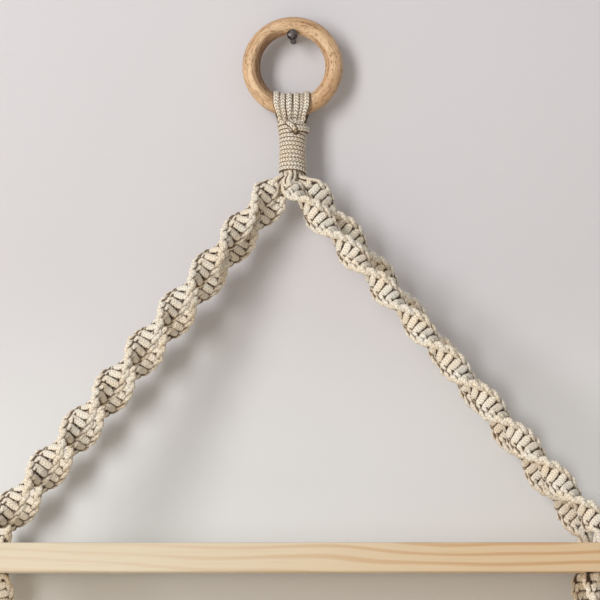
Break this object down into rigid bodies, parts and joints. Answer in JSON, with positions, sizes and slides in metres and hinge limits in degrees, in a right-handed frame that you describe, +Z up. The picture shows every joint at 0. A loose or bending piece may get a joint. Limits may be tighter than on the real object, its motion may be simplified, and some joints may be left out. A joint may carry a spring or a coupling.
{
  "type": "hanging rope shelf",
  "caption": "Hanging shelf: a long wooden board carried at its corners by half-knot spiral cotton ropes that gather under a wooden ring on a wall nail.",
  "frame": {"origin": "where the nail's axis meets the face of the wall", "axes": "+X right as seen from the front, along the board; +Y into the wall; +Z up"},
  "size_m": [0.44, 0.181, 0.5166],
  "materials": {
    "cotton_cord": "matte braided cotton cord",
    "ring_beech": "turned beech, smooth, unvarnished",
    "board_pine": "planed pine, lightly waxed",
    "nail_steel": "dark plain steel"
  },
  "bodies": {
    "nail": {"wall_nail": "nail_steel"},
    "ring": {"hanging_ring": "ring_beech"},
    "hanger": {"cord_loop_1": "cotton_cord", "cord_loop_2": "cotton_cord", "cord_loop_3": "cotton_cord", "cord_loop_4": "cotton_cord", "cord_loop_5": "cotton_cord", "cord_loop_6": "cotton_cord", "cord_loop_7": "cotton_cord", "cord_loop_8": "cotton_cord", "gathered_cords": "cotton_cord", "gathering_wrap": "cotton_cord", "spiral_rope_front_left": "cotton_cord", "spiral_rope_front_right": "cotton_cord", "spiral_rope_rear_left": "cotton_cord", "spiral_rope_rear_right": "cotton_cord", "shelf_board": "board_pine", "rope_tail_front_left": "cotton_cord", "rope_tail_front_right": "cotton_cord", "rope_tail_rear_left": "cotton_cord", "rope_tail_rear_right": "cotton_cord", "tail_wrap_front_left": "cotton_cord", "tail_wrap_front_right": "cotton_cord", "tail_wrap_rear_left": "cotton_cord", "tail_wrap_rear_right": "cotton_cord"},
    "tassel_front_left": {"tassel_front_left": "cotton_cord"},
    "tassel_front_right": {"tassel_front_right": "cotton_cord"},
    "tassel_rear_left": {"tassel_rear_left": "cotton_cord"},
    "tassel_rear_right": {"tassel_rear_right": "cotton_cord"}
  },
  "joints": [
    {"name": "ring_swing", "type": "hinge", "parent": "nail", "child": "ring", "pos_m": [0, -0.016, 0], "axis": [0, 1, 0], "range_deg": [-20, 20]},
    {"name": "shelf_tip", "type": "hinge", "parent": "ring", "child": "hanger", "pos_m": [0, -0.016, -0.0497], "axis": [-1, 0, 0], "range_deg": [0, 18]},
    {"name": "tassel_swing_front_left", "type": "hinge", "parent": "hanger", "child": "tassel_front_left", "pos_m": [-0.2, -0.133, -0.4496], "axis": [0, 1, 0], "range_deg": [-40, 40]},
    {"name": "tassel_swing_front_right", "type": "hinge", "parent": "hanger", "child": "tassel_front_right", "pos_m": [0.2, -0.133, -0.4496], "axis": [0, 1, 0], "range_deg": [-40, 40]},
    {"name": "tassel_swing_rear_left", "type": "hinge", "parent": "hanger", "child": "tassel_rear_left", "pos_m": [-0.2, -0.023, -0.4496], "axis": [0, 1, 0], "range_deg": [-40, 40]},
    {"name": "tassel_swing_rear_right", "type": "hinge", "parent": "hanger", "child": "tassel_rear_right", "pos_m": [0.2, -0.023, -0.4496], "axis": [0, 1, 0], "range_deg": [-40, 40]}
  ]
}
